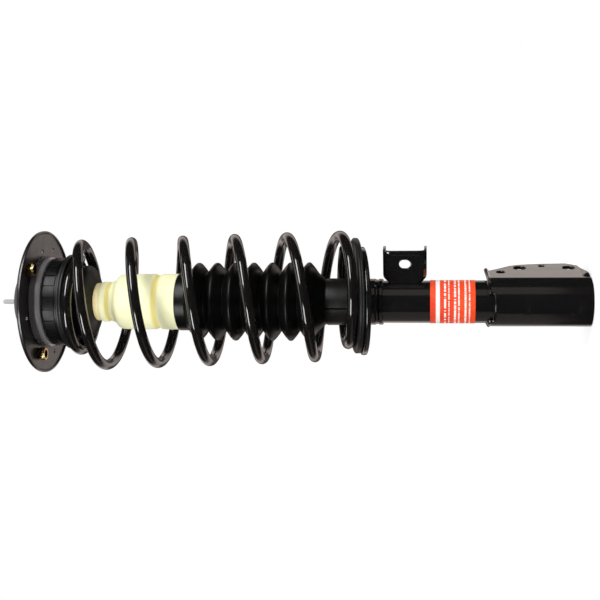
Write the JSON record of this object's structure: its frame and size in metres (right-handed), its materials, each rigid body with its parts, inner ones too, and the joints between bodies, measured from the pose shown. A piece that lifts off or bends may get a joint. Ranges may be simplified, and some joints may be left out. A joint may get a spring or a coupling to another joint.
{
  "type": "strut assembly",
  "caption": "Front suspension strut with tower mount, strut bearing, coil spring, bump stop, dust boot, damper, clevis and link bracket.",
  "frame": {"origin": "on the damper rod's axis, in the plane of the mount plate's top face that seats under the strut tower", "axes": "+Z along the damper rod towards the tower, +X the way the clevis's ears point, +Y completes the right-handed set and is the clevis bolts' direction"},
  "size_m": [0.1773, 0.175, 0.7144],
  "materials": {
    "black_paint": "gloss",
    "grey_coat": "satin",
    "rubber": "matte",
    "boot_rubber": "satin",
    "steel": "satin",
    "gold_zinc": "gloss",
    "chrome": "polished",
    "grey_plastic": "satin",
    "black_plastic": "satin",
    "urethane": "matte",
    "sintered_iron": "matte",
    "band_plastic": "matte",
    "label_film": "gloss"
  },
  "bodies": {
    "tower_mount": {"mount_plate": "black_paint", "mount_cup": "grey_coat", "mount_rubber": "rubber", "mount_sleeve": "steel", "rod_washer": "steel", "rod_nut": "steel", "mount_nut_1": "gold_zinc", "mount_nut_2": "gold_zinc", "mount_nut_3": "gold_zinc", "piston_rod": "chrome", "bearing_upper_race": "steel", "rebound_cushion": "rubber", "rebound_stop": "steel", "piston": "sintered_iron", "piston_band": "band_plastic", "piston_nut": "steel"},
    "ball_cage": {"ball_cage": "steel"},
    "upper_seat": {"bearing_lower_race": "steel", "bearing_housing": "grey_plastic", "upper_spring_seat": "black_paint", "upper_isolator": "rubber", "bump_stop": "urethane", "coil_spring": "black_paint", "dust_boot": "boot_rubber"},
    "strut_body": {"lower_isolator": "rubber", "lower_spring_seat": "black_paint", "seat_collar": "black_paint", "tube_cap": "steel", "rod_seal": "rubber", "rod_guide": "sintered_iron", "strut_tube": "black_paint", "pressure_tube": "steel", "base_valve": "sintered_iron", "tube_end_cap": "black_paint", "boot_sleeve": "black_plastic", "clevis_bracket": "black_paint", "link_bracket": "black_paint", "label": "label_film"}
  },
  "joints": [
    {"name": "steer_swivel", "type": "hinge", "parent": "tower_mount", "child": "upper_seat", "pos_m": [0, 0, -0.021], "axis": [0, 0, 1], "range_deg": [-45, 45]},
    {"name": "cage_turn", "type": "hinge", "parent": "tower_mount", "child": "ball_cage", "pos_m": [0, 0, -0.021], "axis": [0, 0, 1], "range_deg": [-22.5, 22.5]},
    {"name": "damper_stroke", "type": "slide", "parent": "upper_seat", "child": "strut_body", "axis": [0, 0, 1], "range_m": [0, 0.14], "stiffness_N_per_m": 25000, "springref_m": -0.06, "deforming": ["coil_spring", "dust_boot"]}
  ],
  "couplings": [
    {"joint": "cage_turn", "follows": "steer_swivel", "ratio": 0.5}
  ]
}
